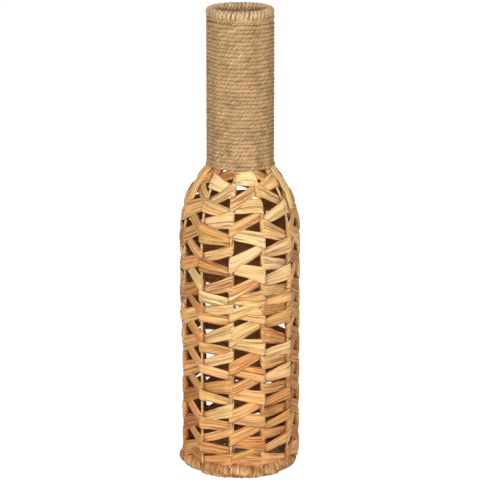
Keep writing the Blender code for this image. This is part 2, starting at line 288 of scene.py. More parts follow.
# Loose fibres of jute
HAIR_COUNT = 900
HAIR_HEIGHTS = (0.400, 0.606)
HAIR_LENGTHS = (0.002, 0.0075)
HAIR_ROOT_RADIUS = 0.0432
HAIR_RADIUS = 0.00009
HAIR_SIDEWAYS = 1.2
HAIR_RISE = 0.9
HAIR_DROOP = 40

# Colours in the 0 to 255 steps of a screen. The leaf's run from pale to brown, and the jute's and
# the wire's from dark to pale.
LEAF_COLOURS = ((255, 229, 176), (248, 207, 142), (226, 171, 104), (170, 108, 55))
FOOT_LEAF_COLOURS = ((250, 214, 160), (228, 184, 130), (202, 154, 102), (112, 66, 34))
ROSY_LEAF = (255, 222, 204)
FRESH_LEAF = (250, 252, 228)
RED_STREAK = (190, 86, 42)
LEAF_VEIN = (146, 92, 46)
# Dark splits, and painted shade in the creases
LEAF_CREASE = (118, 68, 30)
# Painted shade for the leaf's inner faces, the foot's edges and upper half, and the base
LEAF_PAINTED_SHADE = (178, 106, 56)
JUTE_COLOURS = ((104, 78, 46), (168, 134, 92), (206, 172, 128), (244, 220, 182))
ROSY_JUTE = (255, 224, 210)
WIRE_COLOURS = ((176, 132, 84), (222, 184, 130), (234, 200, 150))
# Painted shade for the wire inside the neck
WIRE_PAINTED_SHADE = (84, 60, 38)
FLOOR_COLOUR = (245, 245, 245)

# A leaf's patterns: waves a metre along and across it, offset, detail and roughness
BROAD_PATTERN = (20, 300, 0, 2.0, 0.5)
GRAIN_PATTERN = (14, 620, 5, 3.0, 0.6)
FIBRE_PATTERN = (80, 3000, 9, 3.0, 0.6)
CREASE_PATTERN = (6, 500, 3, 1.0, 0.5)
BREAK_PATTERN = (38, 200, 13, 1.0, 0.5)

# Studio
FLOOR_WIDTH = 30
FLOOR_GLOW = 1.13
FLOOR_SEEN_AS_GLOW = 0.88
FILL_LIGHT = 0.12
LAMP_AIM = (0, 0, 0.3)
LAMPS = (
    ("front_left", (-1.1, -2.6, 1.7), 1.2, 56),
    ("front_right", (1.2, -2.6, 1.5), 1.2, 43),
    ("back", (0.3, 2.8, 1.8), 1.6, 62),
)
CAMERA_PLACE = (0, -3.6, 1.2)
CAMERA_LOOKS_DOWN = 14.01
CAMERA_LENS = 213.2
CAMERA_SENSOR = 36
CAMERA_REACH = 100


def meridian(along):
    """(radius, height, lean inwards) of a rib at an arc length, which is the height on the wall.

    The shoulder is an arc that turns inwards by SHOULDER_TURN, and the fillet arc turns back
    upright.
    """
    past_wall = along - SHOULDER_BOTTOM_Z
    past_shoulder = past_wall - SHOULDER_RADIUS * SHOULDER_TURN
    turned = np.clip(past_wall / SHOULDER_RADIUS, 0, SHOULDER_TURN)
    back = np.clip(past_shoulder / NECK_FILLET, 0, SHOULDER_TURN)
    radius = (
        BODY_RADIUS
        - SHOULDER_RADIUS * (1 - np.cos(turned))
        - NECK_FILLET * (np.cos(SHOULDER_TURN - back) - math.cos(SHOULDER_TURN))
    )
    height = (
        np.minimum(along, SHOULDER_BOTTOM_Z)
        + SHOULDER_RADIUS * np.sin(turned)
        + NECK_FILLET * (math.sin(SHOULDER_TURN) - np.sin(SHOULDER_TURN - back))
        + np.maximum(past_shoulder - NECK_FILLET * SHOULDER_TURN, 0)
    )
    return radius, height, turned - back


def arc_length_at(height):
    """Arc length of a rib at a height, read back from a close series of points."""
    series = np.linspace(0, 0.65, 2601)
    return np.interp(height, meridian(series)[1], series)


def smooth_step(share):
    """0 below 0 and 1 above 1, with the cubic 3x2 - 2x3 between."""
    share = np.clip(share, 0, 1)
    return share * share * (3 - 2 * share)


def waves(rng, position, amplitude, shortest, longest):
    """Smooth unevenness along a strip: three sines of random wavelength and phase."""
    total = 0
    for _ in range(3):
        wavelength = rng.uniform(shortest, longest)
        total = total + np.sin(2 * math.pi * (position / wavelength + rng.uniform()))
    return total * amplitude / 3


def section_faces(index, uv):
    """(corners, first corner of each face, uv of each corner) of the faces on rows of sections.

    Quads join each row to the next, and a flat cap closes each end of a path.
    """
    paths, _, columns = index.shape
    here, ahead = index[:, :-1], index[:, 1:]
    quads = np.stack((here, np.roll(here, -1, axis=2), np.roll(ahead, -1, axis=2), ahead), axis=-1)
    quad_uv = (uv[:, :-1, :-1], uv[:, :-1, 1:], uv[:, 1:, 1:], uv[:, 1:, :-1])
    caps = np.stack((index[:, 0, ::-1], index[:, -1]), axis=1)
    cap_uv = np.stack((uv[:, 0, -2::-1], uv[:, -1, :-1]), axis=1)
    corners = np.concatenate((quads.ravel(), caps.ravel()))
    corner_uv = (np.stack(quad_uv, axis=3).reshape(-1, 2), cap_uv.reshape(-1, 2))
    starts = (np.arange(0, quads.size, 4), quads.size + columns * np.arange(2 * paths))
    return corners, np.concatenate(starts), np.concatenate(corner_uv)


def skin(name, points, uv, values, material, stands_for):
    """Makes a piece of closed sections carried along paths.

    points has the shape (paths, rows, columns, 3) and each row is one closed section. uv has one
    more column than points, so that its seam doesn't run back. values go into attributes that the
    material reads.
    """
    index = np.arange(points[..., 0].size).reshape(points.shape[:3])
    corners, starts, corner_uv = section_faces(index, uv)
    mesh = bpy.data.meshes.new(name)
    mesh.vertices.add(index.size)
    mesh.vertices.foreach_set("co", points.astype(np.float32).ravel())
    mesh.loops.add(len(corners))
    mesh.loops.foreach_set("vertex_index", corners.astype(np.int32))
    mesh.polygons.add(len(starts))
    mesh.polygons.foreach_set("loop_start", starts.astype(np.int32))
    mesh.update(calc_edges=True)
    grain = mesh.uv_layers.new(name="grain")
    grain.data.foreach_set("uv", corner_uv.astype(np.float32).ravel())
    for label, value in values.items():
        spread = np.broadcast_to(value, index.shape).astype(np.float32)
        mesh.attributes.new(label, "FLOAT", "POINT").data.foreach_set("value", spread.ravel())
    mesh.shade_smooth()
    mesh.materials.append(material)
    piece = bpy.data.objects.new(name, mesh)
    bpy.context.scene.collection.objects.link(piece)
    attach(piece, "root")
    if stands_for:
        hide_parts(*stands_for)


def leaf_section():
    """(across, thick) round a leaf's section.

    across goes from -1 at the lower edge to 1 at the upper one and back, and thick is the share of
    the half thickness: 1 or -1 in the middle, and 0 at the edges.
    """
    face = np.linspace(-1, 1, FACE_POINTS)
    across = np.concatenate((face, face[-2:0:-1]))
    side = np.concatenate((np.ones(FACE_POINTS), -np.ones(FACE_POINTS - 2)))
    return across, side * (1 - across**4) ** 0.5


def leaf_grain(running, across, half_width):
    """Grain coordinates in metres along and across a leaf, whose first column comes again last."""
    sideways = np.append(across, across[0]) * half_width
    return np.stack(np.broadcast_arrays(running, sideways), axis=-1)


def pleats(across, count, phase, depth):
    """Height of overlapping pleats across a leaf: a sawtooth with a sharp fall at each edge."""
    return depth * (1 - np.mod(across * count / 2 + phase, 1))


def bay_points(number, across, out, along):
    """Points on a bay's flat: across from its middle and out from its ribs, at an arc length."""
    turn = FIRST_RIB + (number - 0.5) * BAY
    radius, height, lean = meridian(along)
    reach = radius * math.cos(BAY / 2) + out * np.cos(lean)
    x = reach * math.cos(turn) - across * math.sin(turn)
    y = reach * math.sin(turn) + across * math.cos(turn)
    return np.stack((x, y, height + out * np.sin(lean)), axis=-1)


def regular_legs(rng, second_fold, rise, spread, pitch=LACING_PITCH, right_fold=FOLD_HEIGHT):
    """Legs of a bay that has no table, evenly pitched with a maker's unevenness.

    The folds are on the right rib and the left one in turn, from the lowest, and the second one's
    height is given. The lowest and the highest are held within the bay. All is in millimetres.
    """
    legs = []
    for step in range(-1, int(2 * (TOP_FOLD - second_fold) / pitch) + 2):
        middle = second_fold + step * pitch / 2 + rng.uniform(-spread, spread)
        half = (right_fold if step % 2 else FOLD_HEIGHT) / 2
        half = half + rng.uniform(-HALF_HEIGHT_SPREAD, HALF_HEIGHT_SPREAD)
        narrow = middle + rise + rng.uniform(-spread, spread)
        middle, narrow = (min(max(height, BOTTOM_FOLD), TOP_FOLD) for height in (middle, narrow))
        legs.append((middle - half, middle + half, narrow))
    return legs


def bay_legs(number, rng):
    """(legs in the strand's running order, side of the first fold) of a bay; +1 is its right rib.

    Odd bays are laced upwards and even ones downwards: each leg leaves the front of one rib and
    goes behind the other.
    """
    if number == 7:
        return MIDDLE_BAY, 1
    if number == 8:
        return RIGHT_BAY[::-1], -1
    if number == 6:
        return LEFT_BAY[::-1], 1
    if number == 5:
        legs = regular_legs(
            rng, SECOND_FOLD_UPWARD, LEFT_EDGE_RISE, SPREAD, LEFT_EDGE_PITCH, LEFT_EDGE_RIGHT_FOLD
        )
        return legs, 1
    rise, spread = (RISE_BEHIND, SPREAD_BEHIND) if number in BACK_BAYS else (RISE, SPREAD)
    if number % 2:
        return regular_legs(rng, SECOND_FOLD_UPWARD, rise, spread), 1
    return regular_legs(rng, SECOND_FOLD_DOWNWARD, -rise, spread)[::-1], 1


def leaf_shades(number, rng, count):
    """(tone, streak) of each leg: from 0 pale straw to 1 brown, and from 0 plain to 1 red."""
    if number == 7:
        return np.array(MIDDLE_TONES), np.array(MIDDLE_STREAKS)
    # The side bays' strips get painted shade, as a browner tone
    side_shade = SIDE_PAINTED_SHADE if number in SIDE_BAYS else 0
    tones = rng.beta(1.6, 2.6, count) * 0.95 + side_shade
    top = TOP_TONES.get(number, ())
    if number % 2:
        tones[count - len(top) :] = top[::-1]
    else:
        tones[: len(top)] = top
    return tones, np.clip(rng.uniform(-1.0, 1, count), 0, 1) * REDDEST.get(number, 1)


def extra_width(number, height):
    """How much wider a bay's strips are than its legs' heights say, at each leg's height."""
    if number in BACK_BAYS:
        opened = smooth_step((height - OPENED_FROM_Z) / OPENED_WITHIN)
        return EXTRA_WIDTH_BEHIND - OPENED_BEHIND * opened
    if number in SLIM_BAYS:
        return EXTRA_WIDTH - SLIMMER_BELOW * smooth_step((SLIMMER_FROM_Z - height) / SLIMMER_WITHIN)
    return EXTRA_WIDTH_AT_THE_SIDES if number in SIDE_BAYS else EXTRA_WIDTH


def strand_column(by_leg):
    """Values by leg and row, in running order as a column. The last leg ends before its fold."""
    return by_leg.ravel()[: by_leg.size - FOLD_ROWS + 1][:, None]


def through_folds(here):
    """A leg's value on its rows, passing to the next leg's over the fold."""
    following = np.append(here[1:], here[-1])
    return strand_column(here[:, None] + (following - here)[:, None] * smooth_step(TURNED))


def narrowing(front, back):
    """An edge from a leg's front end to its back end, and over the fold to the next one's front."""
    following = np.append(front[1:], front[-1])
    leg = front[:, None] + (back - front)[:, None] * OVER
    opening = (following - back)[:, None] * smooth_step(TURNED * OPENING_HASTE)
    return strand_column(leg + opening)


def strand_edges(number, legs, side, rng):
    """(lower edge, upper edge, running length) of a strand, row by row.

    The edges draw together towards each leg's back end and open again round the fold.
    """
    count = len(legs)
    low, high, narrow = np.array(legs, float).T / 1000
    below_left = rng.uniform(*BELOW_ON_THE_LEFT, count)
    below_right = rng.uniform(*BELOW_ON_THE_RIGHT, count)
    if legs[-1][0] > legs[0][0]:
        narrow_low = narrow - np.where(side > 0, below_left, below_right)
    else:
        narrow_low = narrow + ABOVE_THE_MIDDLE - NARROW_WIDTH
    extra = extra_width(number, low) / 2
    lower = arc_length_at(narrowing(low - extra, narrow_low - extra))
    upper = arc_length_at(narrowing(high + extra, narrow_low + NARROW_WIDTH + extra))
    running = np.arange(len(lower))[:, None] * ROW_STEP
    lower = lower + waves(rng, running, *EDGE_WAVES)
    upper = upper + waves(rng, running, *EDGE_WAVES)
    return lower, upper, running


def strand_relief(number, count, across, along, over, rng):
    """How far a strand stands out from its flat: pleats, a crown and a twist between the ribs.

    The fuller left side of the wall is half a sine over the bay.
    """
    pleat_count = through_folds(rng.uniform(*PLEAT_COUNT, count))
    pleat_phase = through_folds(rng.uniform(0, 1, count))
    pleat_depth = through_folds(rng.uniform(*PLEAT_DEPTH, count))
    crown = through_folds(rng.uniform(*CROWN, count))
    twist = through_folds(rng.normal(0, TWIST, count))
    free = smooth_step(over / HELD_SHARE) * smooth_step((1 - over) / HELD_SHARE)
    free = free * (SIDE_RELIEF if number in SIDE_BAYS else 1)
    folded = pleats(across, pleat_count, pleat_phase, pleat_depth)
    bulge = LEFT_BULGE.get(number, 0) * smooth_step((along - BULGE_FROM_Z) / BULGE_WITHIN)
    bulge = bulge * smooth_step((BULGE_TO_Z - along) / BULGE_ENDS_WITHIN)
    relief = free * (folded + crown * (1 - across**2) + twist * across)
    return relief + bulge * np.sin(math.pi * over) * (over < 1)


def lacing_strand(number, material):
    """One bay's leaf strand, folded over its ribs in turn.

    A leg runs straight from the front of one rib to the back of the other, and the fold runs on
    round that rib in a half circle.
    """
    rng = np.random.default_rng(LACING_SEED + number)
    legs, first_side = bay_legs(number, rng)
    count = len(legs)
    side = first_side * (-1.0) ** np.arange(count)
    lower, upper, running = strand_edges(number, legs, side, rng)
    across, thick = leaf_section()
    along = (lower + upper) / 2 + across * (upper - lower) / 2
    reach = meridian(along)[0] * math.sin(BAY / 2)
    fold_radius = FOLD_RADIUS + FOLD_RADIUS_STEP * (2 if number == RIB_COUNT else 1 - number % 2)

    side = strand_column(np.repeat(side, len(OVER)))
    over = strand_column(np.tile(OVER, count))
    theta = (strand_column(np.tile(TURNED, count)) - 0.5) * math.pi
    at_fold = over >= 1
    x = -side * np.where(at_fold, reach + fold_radius * np.cos(theta), reach * (2 * over - 1))
    out = fold_radius * np.where(at_fold, np.sin(theta), 1 - 2 * over)
    normal_x = np.where(at_fold, np.cos(theta), 0)
    normal_out = side * np.where(at_fold, -np.sin(theta), 1)
    raised = strand_relief(number, count, across, along, over, rng)
    x = x + normal_x * thick * LEAF_THICKNESS / 2
    out = out + normal_out * thick * LEAF_THICKNESS / 2 + raised
    points = bay_points(number, x, out, along)

    grain = leaf_grain(running + number, across, HALF_LEAF)
    tone, streak = leaf_shades(number, rng, count)
    values = {
        "tone": through_folds(tone),
        "streak": through_folds(streak),
        "blush": through_folds(rng.uniform(0, 1, count)),
        # Painted shade on each strip's inner face
        "inside": smooth_step(0.5 - np.sign(thick) * normal_out * 0.9),
    }
    name = f"leaf_lacing_{number:02d}"
    nodes = (f"wall_lacing_{number:02d}", f"shoulder_lacing_{number:02d}")
    skin(name, points[None], grain[None], values, material, nodes)


def leaf_end(number, place, lowest, tone, material):
    """A loose end of leaf laid down the shoulder in a bay, from the neck rope to a blunt tip.

    place runs from -1 at the bay's left rib to 1 at its right one.
    """
    rng = np.random.default_rng(LEAF_END_SEED + number)
    share = np.linspace(0, 1, LEAF_END_ROWS)[:, None]
    across, thick = leaf_section()
    slant = LEAF_END_SLANT * across * (1 - share) ** 8
    along = arc_length_at(lowest + (LEAF_END_TOP_Z - lowest) * share + slant)
    half = LEAF_END_HALF_WIDTH * smooth_step(share * 9 + 0.45) * (1 - 0.2 * share)
    half = half + waves(rng, share, *LEAF_END_WIDTH_WAVES)
    folded = pleats(across, *LEAF_END_PLEATS) + LEAF_END_CROWN * (1 - across**2)
    out = LEAF_END_STANDS_OUT + folded * (thick > 0) + thick * LEAF_THICKNESS / 2
    out = out + waves(rng, share, *LEAF_END_LIFT_WAVES)
    reach = meridian(along)[0] * math.sin(BAY / 2)
    aside = place * reach + across * half + waves(rng, share, *LEAF_END_COURSE_WAVES)
    points = bay_points(number, aside, out, along)
    grain = leaf_grain(share * LEAF_END_LENGTH + number, across, HALF_LEAF)
    values = {"tone": tone, "streak": 0.3, "blush": 0.3, "inside": 0.0}
    name = f"leaf_end_{number:02d}"
    skin(name, points[None], grain[None], values, material, ())


def ring_of(node):
    """(radius, height, wire thickness) of a ring of the cage."""
    low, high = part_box(node)
    wire = high.z - low.z
    return high.x - wire / 2, (low.z + high.z) / 2, wire


def on_loop_rows(values):
    """One value for each loop of the foot's binding, on all the loop's rows as a column."""
    return np.repeat(values, FOOT_LOOP_ROWS)[:, None]


def to_next_loop(here, ahead, share):
    """Values that pass from each loop's own to the next one's, as a column."""
    return (here[:, None] + (ahead - here)[:, None] * share).ravel()[:, None]


def foot_leaf(material):
    """Leaf bound round the foot ring in two loops a bay, flattened where the vase stands on it.

    The strip circles the ring's section and moves on to the next loop's place as it passes inside
    and underneath. It stands out more in front and behind than at the sides, and more at the left
    than at the right.
    """
    rng = np.random.default_rng(FOOT_SEED)
    ring_radius, ring_z, _ = ring_of("foot_ring")
    loop_radius = ring_z - FOOT_LEAF_THICKNESS / 2
    bays = np.repeat(np.arange(RIB_COUNT), 2)
    offset = np.tile((-0.5, 0.5), RIB_COUNT) * FOOT_LOOP_SPACING / ring_radius
    count = len(bays)
    station = FIRST_RIB + (bays + 0.5) * BAY + offset
    station = station + rng.uniform(-FOOT_LOOP_SPREAD, FOOT_LOOP_SPREAD, count)
    half = rng.uniform(*FOOT_HALF_WIDTH, count)
    share = np.arange(FOOT_LOOP_ROWS) / FOOT_LOOP_ROWS
    moved = smooth_step((share - FOOT_MOVES_FROM) / FOOT_MOVES_WITHIN)
    angle = to_next_loop(station, np.append(station[1:], station[0] + 2 * math.pi), moved)
    half = to_next_loop(half, np.append(half[1:], half[0]), moved)
    theta = np.tile(-math.pi / 2 + 2 * math.pi * share, count)[:, None]
    running = np.arange(len(theta))[:, None] * 2 * math.pi * loop_radius / FOOT_LOOP_ROWS
    across, thick = leaf_section()
    half = half * (1.05 - 0.28 * np.sin(theta) - 0.02 * np.cos(theta))
    half = half + waves(rng, running, *FOOT_WIDTH_WAVES)

    phase = on_loop_rows(rng.uniform(0, 1, count))
    raised = pleats(across, FOOT_PLEATS, phase, FOOT_PLEAT_DEPTH) * (0.6 - 0.4 * np.sin(theta))
    in_pleat = np.mod(across * FOOT_PLEATS / 2 + phase, 1)
    # Painted shade in the pleats' hollows, stronger towards the top of each loop
    hollow_shade = smooth_step((in_pleat - FOOT_HOLLOW_FROM) / FOOT_HOLLOW_WITHIN)
    hollow_shade = hollow_shade * on_loop_rows(rng.uniform(0.2, 1, count)) * (0.6 + 0.4 * np.cos(theta - 0.6))
    hollow_shade_and_tone = hollow_shade + waves(rng, running + across * 0.004, *FOOT_SHADE_WAVES)
    section = loop_radius + thick * FOOT_LEAF_THICKNESS / 2 + raised * (thick > 0)

    slimmer = FOOT_SLIMMER_AT_THE_SIDES - FOOT_FULLER_ON_TOP * np.cos(theta + 0.4)
    slimmer = slimmer * np.cos(angle) ** 2
    lump = on_loop_rows(rng.uniform(*FOOT_LUMPS, count)) * np.sin(theta / 2) ** 2
    near_left = np.exp(-(((angle - FOOT_LEFT_SWELL_AT) / FOOT_LEFT_SWELL_WITHIN) ** 2))
    left = FOOT_LEFT_SWELL * near_left * smooth_step(0.4 + np.cos(theta + 0.7))
    radius = ring_radius + (FOOT_SWELL - slimmer) + lump + left - np.sin(theta) * section
    rounded = (0.14 + waves(rng, running, *FOOT_ROUNDNESS_WAVES)) * np.cos(theta)
    rounded = FOOT_ROUNDNESS + rounded
    height = np.maximum(ring_z + np.cos(theta) * section * rounded, 0)
    angle = angle + across * half / ring_radius
    points = np.stack((radius * np.cos(angle), radius * np.sin(angle), height), axis=-1)

    grain = leaf_grain(running, across, FOOT_HALF_GRAIN)
    # Painted shade along each loop's edges, where neighbouring loops meet
    painted_edge = 0.8 * np.abs(across) ** 7
    values = {
        # The tone here also carries the painted shade of the hollows
        "tone": on_loop_rows(rng.beta(2.2, 2.2, count) * 0.9) + hollow_shade_and_tone,
        "streak": on_loop_rows(np.clip(rng.uniform(-1.5, 0.8, count), 0, 1)),
        "blush": on_loop_rows(rng.uniform(0, 0.8, count)),
        # Painted shade on the inner face, along the edges and over the upper half of each loop
        "inside": np.maximum(thick < 0, painted_edge + 0.5 * smooth_step(np.cos(theta))),
    }
    nodes = ("foot_binding",)
    skin("foot_leaf", points[None], grain[None], values, material, nodes)


def base_leaf(material):
    """One strip woven over and under the spokes in a flat spiral.

    Its height is a cosine of the turn, of half a wave from spoke to spoke.
    """
    rng = np.random.default_rng(BASE_SEED)
    low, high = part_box("base_weave")
    spoke_z = (low.z + high.z) / 2
    lift = (high.z - low.z) / 2 - LEAF_THICKNESS / 2
    courses = (BASE_OUTER_RADIUS - BASE_INNER_RADIUS - BASE_LEAF_WIDTH) / BASE_COURSE
    crossings = np.arange(0, courses * RIB_COUNT, 1 / BASE_ROWS_PER_SPOKE)[:, None]
    across, thick = leaf_section()
    angle = FIRST_RIB + crossings * BAY
    middle = BASE_INNER_RADIUS + BASE_LEAF_WIDTH / 2 + BASE_COURSE * crossings / RIB_COUNT
    radius = middle + across * (BASE_LEAF_WIDTH / 2 + waves(rng, crossings, *BASE_WIDTH_WAVES))
    height = spoke_z + lift * np.cos(math.pi * crossings) + thick * LEAF_THICKNESS / 2
    x, y, z = np.broadcast_arrays(radius * np.cos(angle), radius * np.sin(angle), height)
    points = np.stack((x, y, z), axis=-1)
    grain = leaf_grain(crossings * BAY * BASE_GRAIN_RADIUS, across, BASE_LEAF_WIDTH / 2)
    values = {
        "tone": 0.35 + waves(rng, crossings, *BASE_TONE_WAVES),
        "streak": np.clip(waves(rng, crossings, *BASE_STREAK_WAVES), 0, 1),
        "blush": 0.5,
        # Painted shade, a little, evenly over the base
        "inside": 0.2,
    }
    nodes = ("base_weave",)
    skin("base_leaf", points[None], grain[None], values, material, nodes)


def rope(path, away, depth, breadth, relief, inner_shade, rng):
    """(points, uv, values) of laid rope along a path: round plies that turn once in each lay.

    The section's radius is a row of half circles, one a ply, so each groove follows a column of
    the grid. away points to the side where depth is measured, and breadth is measured across it.
    The sides, where neighbouring turns meet, get painted shade, and the inner side gets painted
    shade by the given amount.
    """
    step = np.linalg.norm(np.diff(path, axis=0), axis=1)
    length = np.concatenate(([0], np.cumsum(step)))[:, None]
    tangent = np.gradient(path, axis=0)
    tangent /= np.linalg.norm(tangent, axis=1, keepdims=True)
    beside = np.cross(tangent, away)
    beside /= np.linalg.norm(beside, axis=1, keepdims=True)
    away = np.cross(beside, tangent)
    column = np.arange(ROPE_SIDES) / ROPE_SIDES
    ply = np.abs(np.sin(math.pi * ROPE_PLIES * column))
    uneven = waves(rng, length, *ROPE_SHORT_WAVES) + waves(rng, length, *ROPE_LONG_WAVES)
    section = (1 - relief + relief * ply**PLY_SHARPNESS) * (1 + uneven)
    turn = 2 * math.pi * (column - length / ROPE_LAY)
    points = path[:, None] + (
        away[:, None] * (np.cos(turn) * section * depth)[:, :, None]
        + beside[:, None] * (np.sin(turn) * section * breadth)[:, :, None]
    )
    uv = np.stack(np.broadcast_arrays(length, np.arange(ROPE_SIDES + 1) / ROPE_SIDES), axis=-1)
    # Painted shade at the sides where turns meet and on the inner side
    sunk = np.maximum(np.abs(np.sin(turn)) ** 4 * 0.6, inner_shade * smooth_step(-1.6 * np.cos(turn)))
    return points, uv, {"sunk": sunk}


def neck_path(start, end):
    """Centreline of the neck turns and the way out from the axis, left-handed going up.

    start and end are shares of the run from the bottom turn to the top one. The radius dips a
    little between ribs, as a rounded polygon does. The last turn lies level, over the end of the
    one before it.
    """
    reach = RIB_WIRE_RADIUS + ROPE_RADIUS
    series = np.linspace(0.38, 0.65, 2001)
    radius, height, lean = meridian(series)
    radius = radius + reach * np.cos(lean)
    height = height + reach * np.sin(lean)
    run = np.concatenate(([0], np.cumsum(np.hypot(np.diff(radius), np.diff(height)))))
    bottom, top = np.interp((NECK_ROPE_BOTTOM_Z, NECK_ROPE_TOP_Z), height, run)
    rising = (top - bottom) / NECK_PITCH
    count = rising + 1
    rows = int(count * (end - start) * 2 * math.pi * NECK_RADIUS / ROPE_STEP)
    turns = np.linspace(start, end, rows) * count
    target = np.minimum(bottom + turns * NECK_PITCH, top)
    angle = FIRST_RIB - 2 * math.pi * turns
    dip = DIP_BETWEEN_RIBS * (1 - np.cos(RIB_COUNT * 2 * math.pi * turns))
    tuck = smooth_step((turns - rising) * 2 + 2) * smooth_step((rising - turns) * 12)
    distance = np.interp(target, run, radius) - dip - TUCK_UNDER_TOP_TURN * tuck
    rng = np.random.default_rng(NECK_COURSE_SEED)
    rise = np.interp(target, run, height)
    rise = rise + waves(rng, turns, *NECK_LONG_WAVES) + waves(rng, turns, *NECK_SHORT_WAVES)
    path = np.stack((distance * np.cos(angle), distance * np.sin(angle), rise), axis=-1)
    away = np.stack((np.cos(angle), np.sin(angle), 0 * angle), axis=-1)
    return path, away


def neck_rope(material):
    """The neck winding in its two lengths."""
    breadth = ROPE_RADIUS * NECK_ROPE_BREADTH
    lengths = (("lower", 0, 0.5), ("upper", 0.5, 1))
    for (label, start, end), seed in zip(lengths, NECK_ROPE_SEEDS):
        rng = np.random.default_rng(seed)
        path, away = neck_path(start, end)
        points, uv, values = rope(
            path, away, ROPE_RADIUS, breadth, NECK_ROPE_RELIEF, NECK_ROPE_INNER_SHADE, rng
        )
        nodes = (f"neck_twine_{label}",)
        skin(f"neck_rope_{label}", points[None], uv[None], values, material, nodes)


def rim_rope(material):
    """Rope overcast round the mouth ring; each loop's breadth fills its share of the ring's girth.

    A loop lies close to the wire on top and inside, and outside it reaches down over the neck's
    top turn. It starts outside, goes over the top and comes back underneath.
    """
    rng = np.random.default_rng(RIM_SEED)
    ring_radius, ring_z, wire = ring_of("mouth_ring")
    share = np.arange(RIM_LOOPS * RIM_ROWS_PER_LOOP) / RIM_ROWS_PER_LOOP
    angle = 2 * math.pi * share / RIM_LOOPS + waves(rng, share, *RIM_SPACING_WAVES)
    theta = 2 * math.pi * share
    around = np.stack((np.cos(angle), np.sin(angle), 0 * angle), axis=-1)
    up = np.array((0, 0, 1))
    away = around * np.cos(theta)[:, None] + up * np.sin(theta)[:, None]
    outside = (1 + np.cos(theta)) / 2
    depth = RIM_ROPE_DEPTH - RIM_THINNER_INSIDE * (1 - outside) * (1 - np.sin(theta)) / 2
    loop_radius = wire / 2 + RIM_GAP_TO_RING + depth
    sideways = np.cos(theta) * loop_radius + RIM_STANDS_OUT * outside
    reaching = RIM_REACH_DOWN + RIM_REACH_DOWN_OUTSIDE * outside
    reaching = reaching + waves(rng, share, *RIM_REACH_WAVES)
    reaching = reaching * (theta % (2 * math.pi) > math.pi)
    rise = np.sin(theta) * loop_radius * (1 + reaching)
    rise = rise - RIM_DROP_OUTSIDE * outside + RIM_LIFT
    path = around * (ring_radius + sideways)[:, None] + up * (ring_z + rise)[:, None]
    girth_share = 2 * math.pi * np.hypot(path[:, 0], path[:, 1]) / RIM_LOOPS
    breadth = girth_share[:, None] * RIM_ROPE_BREADTH
    points, uv, values = rope(path, away, depth[:, None], breadth, RIM_ROPE_RELIEF, 0, rng)
    # Painted light on the rim's loops, least at their sides where the turns meet
    values["sunk"] = values["sunk"] * 2 - RIM_PAINTED_LIGHT
    skin("rim_rope", points[None], uv[None], values, material, ("rim_twine",))


def jute_hairs(material):
    """Loose fibres that stand off the neck and rim: tapered arcs that droop as they get longer."""
    rng = np.random.default_rng(HAIR_SEED)
    height = rng.uniform(*HAIR_HEIGHTS, HAIR_COUNT)
    angle = rng.uniform(0, 2 * math.pi, HAIR_COUNT)
    length = rng.uniform(*HAIR_LENGTHS, HAIR_COUNT)
    lean_side = rng.uniform(-HAIR_SIDEWAYS, HAIR_SIDEWAYS, HAIR_COUNT)
    rise = rng.uniform(-HAIR_RISE, HAIR_RISE, HAIR_COUNT)
    share = np.linspace(0, 1, 5)
    out = np.stack((np.cos(angle), np.sin(angle), 0 * angle), axis=-1)
    sideways = np.stack((-np.sin(angle), np.cos(angle), 0 * angle), axis=-1)
    up = np.array((0, 0, 1.0))
    start = out * HAIR_ROOT_RADIUS + up * height[:, None]
    reach = length[:, None] * share
    path = (
        start[:, None]
        + out[:, None] * (reach * (1 - 0.35 * share))[:, :, None]
        + sideways[:, None] * (reach * lean_side[:, None] * (0.4 + 0.6 * share))[:, :, None]
        + up * (reach * rise[:, None] - reach**2 * HAIR_DROOP)[:, :, None]
    )
    thin = HAIR_RADIUS * (1 - 0.7 * share)[:, None, None]
    corner = np.arange(3) * 2 * math.pi / 3
    ring = sideways[:, None, None] * np.cos(corner)[:, None] + up * np.sin(corner)[:, None]
    points = path[:, :, None] + ring * thin
    uv = np.stack(np.broadcast_arrays(share[:, None], np.arange(4) / 3), axis=-1)
    uv = np.broadcast_to(uv, (HAIR_COUNT, *uv.shape))
    skin("jute_hairs", points, uv, {"sunk": 0.0}, material, ())


def shade(colour):
    """A colour written in the 0 to 255 steps of a screen, as the linear light that shaders use."""
    steps = np.array(colour) / 255
    linear = np.where(steps <= 0.04045, steps / 12.92, ((steps + 0.055) / 1.055) ** 2.4)
    return (*linear.tolist(), 1.0)


class Value:
    """A shader socket; arithmetic on it adds Math nodes."""

    def __init__(self, nodes, socket):
        self.nodes = nodes
        self.socket = socket

    def math(self, operation, *inputs):
        return self.nodes.node("ShaderNodeMath", {"operation": operation}, dict(enumerate(inputs)))

    def __add__(self, other):
        return self.math("ADD", self, other)

    def __sub__(self, other):
        return self.math("SUBTRACT", self, other)

    def __rsub__(self, other):
        return self.math("SUBTRACT", other, self)

    def __mul__(self, other):
        return self.math("MULTIPLY", self, other)

    def __pow__(self, other):
        return self.math("POWER", self, other)

    def __abs__(self):
        return self.math("ABSOLUTE", self)

    def fraction(self):
        return self.math("FRACT", self)

    def between(self, low, high):
        """0 at low and 1 at high, smooth between."""
        settings = {"interpolation_type": "SMOOTHSTEP"}
        inputs = {"Value": self, "From Min": low, "From Max": high}
        return self.nodes.node("ShaderNodeMapRange", settings, inputs)

    __radd__ = __add__
    __rmul__ = __mul__


